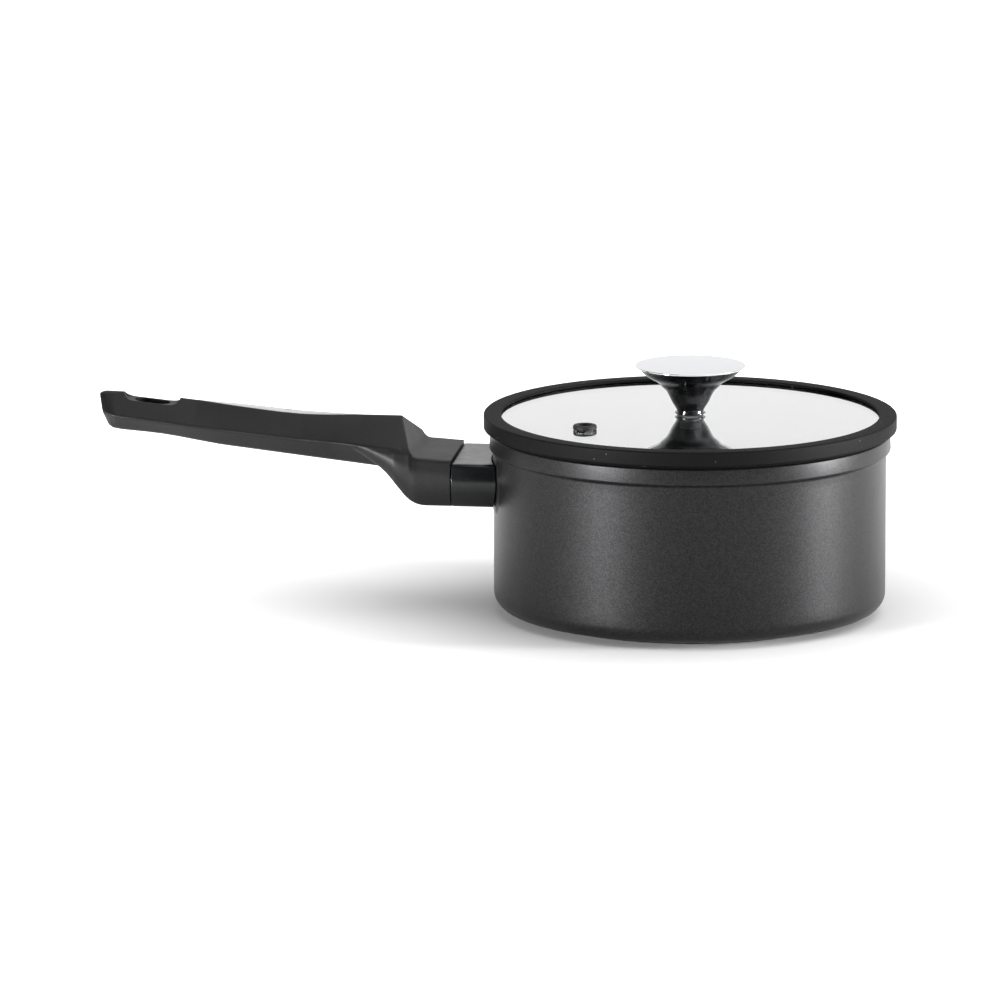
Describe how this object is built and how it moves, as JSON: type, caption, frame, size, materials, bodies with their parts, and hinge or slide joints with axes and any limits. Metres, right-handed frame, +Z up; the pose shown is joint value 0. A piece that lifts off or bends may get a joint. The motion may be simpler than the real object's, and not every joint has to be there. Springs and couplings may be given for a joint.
{
  "type": "saucepan with glass lid",
  "caption": "Small straight-sided saucepan with a long moulded handle, a flame guard and a lift-off glass lid with a silicone rim and a flared steel knob.",
  "frame": {"origin": "centre of the base's underside, on the pan's own axis", "axes": "+Z up along the pan's axis; the handle runs out along -X; Y is across the handle"},
  "size_m": [0.3397, 0.1748, 0.1062],
  "materials": {
    "coated_aluminium": "dark grey metallic non-stick coating, fine sparkle",
    "disc_steel": "turned, fine rings",
    "plain_steel": "plain machined",
    "guard_plastic": "semi-gloss black, moulded",
    "handle_phenolic": "soft-touch matte, very fine grain",
    "satin_steel": "satin, brushed lengthways",
    "tempered_glass": "clear, polished",
    "rim_silicone": "matte moulded silicone",
    "seal_silicone": "matte moulded silicone",
    "polished_steel": "mirror-polished stainless steel"
  },
  "bodies": {
    "pan": {"pan_body": "coated_aluminium", "induction_disc": "disc_steel", "screw_insert": "plain_steel", "flame_guard": "guard_plastic", "handle_grip": "handle_phenolic", "handle_inlay": "satin_steel", "handle_washer": "plain_steel", "spring_washer": "plain_steel", "handle_screw": "plain_steel"},
    "lid": {"glass_disc": "tempered_glass", "silicone_rim": "rim_silicone", "vent_grommet": "seal_silicone", "knob_stem": "polished_steel", "knob_cap": "polished_steel", "knob_boss": "plain_steel", "knob_upper_seal": "seal_silicone", "knob_lower_seal": "seal_silicone", "knob_washer": "plain_steel", "knob_screw": "plain_steel"}
  },
  "joints": [
    {"name": "lid_lift", "type": "slide", "parent": "pan", "child": "lid", "axis": [0, 0, 1], "range_m": [0, 0.12]}
  ]
}
